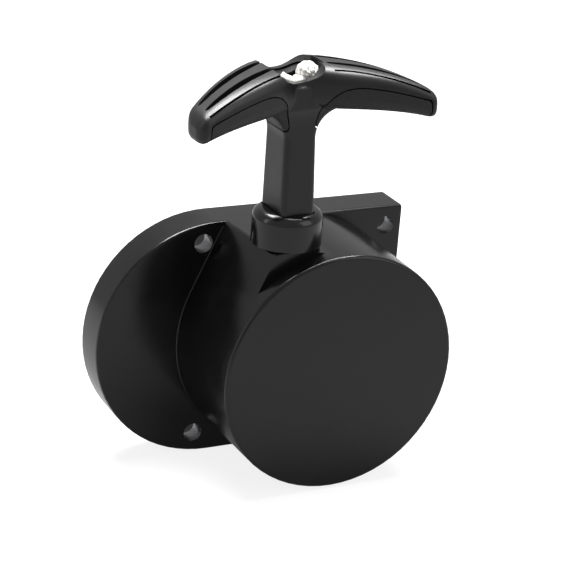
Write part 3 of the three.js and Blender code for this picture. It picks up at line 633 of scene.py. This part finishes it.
whole = grip_body("whole", 0.0)
under_pad = grip_body("under_pad", PAD_THICK)
under_seam = grip_body("under_seam", PAD_THICK + PAD_GAP)
core = duplicate(whole, "grip_core")
for side in (-1, 1):
    recess = pad_region(side, SEAM)
    combine(recess, duplicate(under_seam, "tool"), "DIFFERENCE")
    combine(core, recess, "DIFFERENCE")
    for offset in SLOT_OFFSETS:
        combine(core, arm_slot(side, offset), "DIFFERENCE")
    combine(core, arm_crease(side), "DIFFERENCE")
scoop = circle(SADDLE_ASIDE, SADDLE_Z + SADDLE_R, SADDLE_R, SADDLE_STEPS)
saddle = drawn_across("saddle", scoop)
combine(saddle, duplicate(under_seam, "tool"), "INTERSECT")
combine(core, saddle, "DIFFERENCE")
lip_scoop = [(a, z + SADDLE_LIP) for a, z in scoop]
combine(core, drawn_across("lip", lip_scoop), "DIFFERENCE")
plan = rounded_rectangle(POCKET_HALF_X, POCKET_HALF_Y, POCKET_CORNER_R)
pocket = [(x + POCKET_ASIDE, forward + POCKET_FORWARD) for x, forward in plan]
combine(core, drawn_up("pocket", pocket, POCKET_FLOOR, POCKET_FLOOR + POCKET_TOOL_H), "DIFFERENCE")
bore = circle(0, 0, BORE_R, BORE_STEPS)
combine(core, drawn_up("bore", bore, 0, POCKET_FLOOR + 1), "DIFFERENCE")
smooth(core, 38)
dress(core, "grip", "matt_plastic", moulded)
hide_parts("handle_core")

for side, word in ((-1, "left"), (1, "right")):
    pad = combine(duplicate(whole, f"grip_pad_{word}_skin"), pad_region(side, 0), "INTERSECT")
    combine(pad, duplicate(under_pad, "tool"), "DIFFERENCE")
    smooth(pad, 38)
    dress(pad, "grip", "soft_grip", soft)
    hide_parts(f"grip_pad_{word}")
for helper in (whole, under_pad, under_seam):
    bpy.data.objects.remove(helper)


# ---- rope -----------------------------------------------------------------------------------
SPLINE_STEPS = 24
ROPE_SIDES = 36
BRAID_RELIEF = 0.13
BRAID_PITCH = 7.0
BRAID_STRANDS = 6
ROPE_GAP = 0.3  # between one stretch and the next
COARSE_SPACING = 0.5  # between the rings of the long stretch that is drawn out
FINE_SPACING = 0.35

KNOT_R = 4.8
KNOT_ASIDE = 5.2
KNOT_FORWARD = 1.4
KNOT_Z = 69
KNOT_RINGS = 40
KNOT_SIDES = 64
KNOT_STRANDS = 5
KNOT_TWIST = 7
KNOT_WEAVE = 0.05
KNOT_LUMP = 0.02


def curve_points(controls, spacing):
    """Evenly spaced places along a smooth curve through the controls, in millimetres."""
    points = [Vector(c) for c in controls]
    points = [points[0] * 2 - points[1]] + points + [points[-1] * 2 - points[-2]]
    dense = []
    for i in range(1, len(points) - 2):
        p0, p1, p2, p3 = points[i - 1: i + 3]
        for k in range(SPLINE_STEPS):
            t = k / SPLINE_STEPS
            dense.append(0.5 * (2 * p1 + (p2 - p0) * t + (2 * p0 - 5 * p1 + 4 * p2 - p3) * t**2
                                + (3 * p1 - p0 - 3 * p2 + p3) * t**3))
    dense.append(points[-2])
    even, walked = [dense[0]], 0.0
    for a, b in zip(dense, dense[1:]):
        walked += (b - a).length
        if walked >= spacing:
            even.append(b)
            walked = 0.0
    return even


def braided_rope(name, controls, spacing=FINE_SPACING):
    """A rope whose surface carries two crossing sets of strands."""
    path = curve_points(controls, spacing)
    rings, normal, walked = [], None, 0.0
    for i, place in enumerate(path):
        ahead = path[min(i + 1, len(path) - 1)] - path[max(i - 1, 0)]
        tangent = ahead.normalized()
        if normal is None:
            normal = tangent.orthogonal()
        normal = (normal - tangent * normal.dot(tangent)).normalized()
        side = tangent.cross(normal)
        walked += (place - path[i - 1]).length if i else 0.0
        cross = BRAID_STRANDS * math.pi * walked / BRAID_PITCH
        ring = []
        for j in range(ROPE_SIDES):
            t = 2 * math.pi * j / ROPE_SIDES
            weave = math.cos(BRAID_STRANDS * t + cross) * math.cos(BRAID_STRANDS * t - cross)
            r = ROPE_R * (1 - BRAID_RELIEF / 2 + BRAID_RELIEF / 2 * weave)
            p = place + (normal * math.cos(t) + side * math.sin(t)) * r
            ring.append(at(*p))
        rings.append(ring)
    return smooth(loft(name, rings), 80)


def grip_place(a, forward, z):
    """A place on the grip, in millimetres from the centre of the drum's front face."""
    return tuple((at_grip(a, forward, z) - DRUM_CENTRE) / MM)


eyelet_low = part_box("rope_eyelet")[0]
run_low, run_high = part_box("rope_run")
split = (run_high.z - DRUM_CENTRE.z) / MM
leave_x = (run_low.x - DRUM_CENTRE.x) / MM + ROPE_R * 0.9
leave_z = (run_low.z - DRUM_CENTRE.z) / MM + ROPE_R * 0.5
eye_z = (eyelet_low.z - DRUM_CENTRE.z) / MM
run = braided_rope("rope_run_braid", [
    (leave_x, OUTLET_Y, leave_z),
    (leave_x + (OUTLET_X - leave_x) * 0.5, OUTLET_Y, leave_z + (eye_z - 1 - leave_z) * 0.52),
    (OUTLET_X - 0.6, OUTLET_Y, eye_z - 0.6), (OUTLET_X, OUTLET_Y, eye_z + 3),
    (OUTLET_X, OUTLET_Y, split)])
dress(run, "case", "rope", braided)
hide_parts("rope_run")

pull_foot = Vector((OUTLET_X, OUTLET_Y, split + ROPE_GAP))
pull_head = Vector(grip_place(0, 0, POCKET_FLOOR - ROPE_GAP))
pull_controls = [pull_foot, pull_foot.lerp(pull_head, 0.4), pull_head]
pull = braided_rope("rope_pull_braid", pull_controls, COARSE_SPACING)
pull.data.materials.append(braided)
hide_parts("rope_pull")
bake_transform(pull)


def knot_ball():
    """The tied end: a lump whose surface shows the crossing strands."""
    centre = grip_place(KNOT_ASIDE, KNOT_FORWARD, KNOT_Z)
    core_share = 1 - KNOT_WEAVE - KNOT_LUMP / 2
    greatest = core_share + KNOT_WEAVE + KNOT_LUMP
    rings = []
    for i in range(1, KNOT_RINGS):
        tilt = math.pi * i / KNOT_RINGS
        ring = []
        for j in range(KNOT_SIDES):
            t = 2 * math.pi * j / KNOT_SIDES
            twist = KNOT_TWIST * tilt
            weave = math.cos(KNOT_STRANDS * t + twist) * math.cos(KNOT_STRANDS * t - twist)
            lump = core_share + KNOT_WEAVE * weave + KNOT_LUMP * math.cos(2 * t + 1)
            r = KNOT_R * lump / greatest
            ring.append(at(centre[0] + r * math.sin(tilt) * math.cos(t),
                           centre[1] + r * math.cos(tilt),
                           centre[2] + r * math.sin(tilt) * math.sin(t)))
        rings.append(ring)
    return smooth(loft("rope_knot_ball", rings), 80)


knot = knot_ball()
dress(knot, "grip", "rope", braided)
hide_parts("rope_knot")
neck = braided_rope("rope_knot_neck", [
    grip_place(0, 0, POCKET_FLOOR + 0.4), grip_place(0.5, 0.2, 65.5), grip_place(2.4, 1, 67.5)])
dress(neck, "grip", "rope", braided)
tail = braided_rope("rope_knot_tail", [
    grip_place(3.6, 2.6, 68), grip_place(0.4, 3.8, 66.6), grip_place(-2.6, 3.8, 66.8),
    grip_place(-5.2, 2.6, 67.8), grip_place(-6.6, 1.2, 68.8)])
dress(tail, "grip", "rope", braided)

# ---- inner workings -------------------------------------------------------------------------
inner = [
    ("reel", "reel_moulding", "reel_group", "nylon", nylon, 0.4),
    ("ratchet_guide", "ratchet_guide_moulding", "guide_group", "nylon", nylon, 0.3),
    ("pawl_1", "pawl_1_blank", "pawl_1_group", "steel", zinc, 0.3),
    ("pawl_2", "pawl_2_blank", "pawl_2_group", "steel", zinc, 0.3),
    ("centre_bolt", "centre_bolt_plated", "case", "steel", zinc, 0.35),
    ("retaining_washer", "retaining_washer_plated", "case", "steel", zinc, 0.15),
    ("spring_cup", "spring_cup_pressed", "case", "steel", zinc, 0.2),
    ("rope_eyelet", "rope_eyelet_pressed", "case", "steel", zinc, 0.15),
]
for node, name, body, slot, material, width in inner:
    dress(rounded_copy(node, name, width), body, slot, material)
# CAD pieces that stay as they are, with a better material
kept = {
    "recoil_spring": spring_blue, "pawl_spring_1": spring_blue, "pawl_spring_2": spring_blue,
    "friction_spring": spring_blue, "thrust_washer": zinc, "pawl_pin_1": zinc,
    "pawl_pin_2": zinc, "reel_bush": bronze, "rope_coil": braided, "rope_end": braided,
}
for node, material in kept.items():
    nodes[node].data.materials.clear()
    nodes[node].data.materials.append(material)

# ---- floor, light, camera -------------------------------------------------------------------
FLOOR_HALF = 3  # metres
FLOOR_DROP = 0.0002  # metres, how far under the object it lies
FLOOR_GLOW_TO_OBJECT = 0.15
FLOOR_GLOW_TO_CAMERA = 0.84
WORLD_TO_OBJECT = 0.5
WORLD_TO_CAMERA = 1.0
WHITE = (1, 1, 1, 1)
AIM = Vector((0, 0, 0.08))  # metres, near the middle of the object

SENSOR_WIDTH = 36
LENS = 123.3
CAMERA_PLACE = at(-349.7, -624.4, 322.7)  # in front, to the left and above
CAMERA_TILT = math.radians(68.085)
CAMERA_ROLL = math.radians(-4.074)
CAMERA_HEADING = math.radians(-25.663)


def softbox(name, place, size, power):
    light = bpy.data.lights.new(name, "AREA")
    light.shape = "RECTANGLE"
    light.size, light.size_y = size
    light.energy = power
    obj = bpy.data.objects.new(name, light)
    obj.location = place
    obj.rotation_euler = (AIM - Vector(place)).to_track_quat("-Z", "Y").to_euler()
    bpy.context.scene.collection.objects.link(obj)


def brighter_to_camera(tree, socket, to_object, to_camera):
    """Feeds a strength that the camera sees higher than the object's reflections do."""
    rays = tree.nodes.new("ShaderNodeLightPath")
    strength = tree.nodes.new("ShaderNodeMapRange")
    strength.inputs["To Min"].default_value = to_object
    strength.inputs["To Max"].default_value = to_camera
    tree.links.new(rays.outputs["Is Camera Ray"], strength.inputs["Value"])
    tree.links.new(strength.outputs["Result"], socket)


corners = [(x * FLOOR_HALF, y * FLOOR_HALF, 0) for x, y in ((-1, -1), (1, -1), (1, 1), (-1, 1))]
floor = new_object("floor", corners, [(0, 1, 2, 3)])
floor.location.z = housing_low.z - FLOOR_DROP
pale = finish("pale_floor", (0.2, 0.2, 0.2), (0.22, 0.22, 0.22), (0.85, 0.95), patch=4, grain=60,
              bump=0.02, specular=0.1)
floor_shader = pale.node_tree.nodes["Principled BSDF"]
floor_shader.inputs["Emission Color"].default_value = WHITE
brighter_to_camera(pale.node_tree, floor_shader.inputs["Emission Strength"],
                   FLOOR_GLOW_TO_OBJECT, FLOOR_GLOW_TO_CAMERA)
floor.data.materials.append(pale)

softbox("overhead", (0.1, 0.25, 1.1), (1.0, 0.6), 48)
softbox("front_right", (0.9, -1.0, 0.75), (0.9, 1.1), 4)
softbox("left_edge", (-1.3, 0.2, 0.5), (0.25, 0.9), 1.5)

world = bpy.data.worlds.new("studio")
bpy.context.scene.world = world
world.use_nodes = True
background = world.node_tree.nodes["Background"]
background.inputs["Color"].default_value = WHITE
brighter_to_camera(world.node_tree, background.inputs["Strength"],
                   WORLD_TO_OBJECT, WORLD_TO_CAMERA)
bpy.context.scene.view_settings.view_transform = "Standard"

camera_data = bpy.data.cameras.new("camera")
camera_data.sensor_width = SENSOR_WIDTH
camera_data.lens = LENS
camera = bpy.data.objects.new("camera", camera_data)
bpy.context.scene.collection.objects.link(camera)
camera.location = CAMERA_PLACE
camera.rotation_euler = (CAMERA_TILT, CAMERA_ROLL, CAMERA_HEADING)
bpy.context.scene.camera = camera
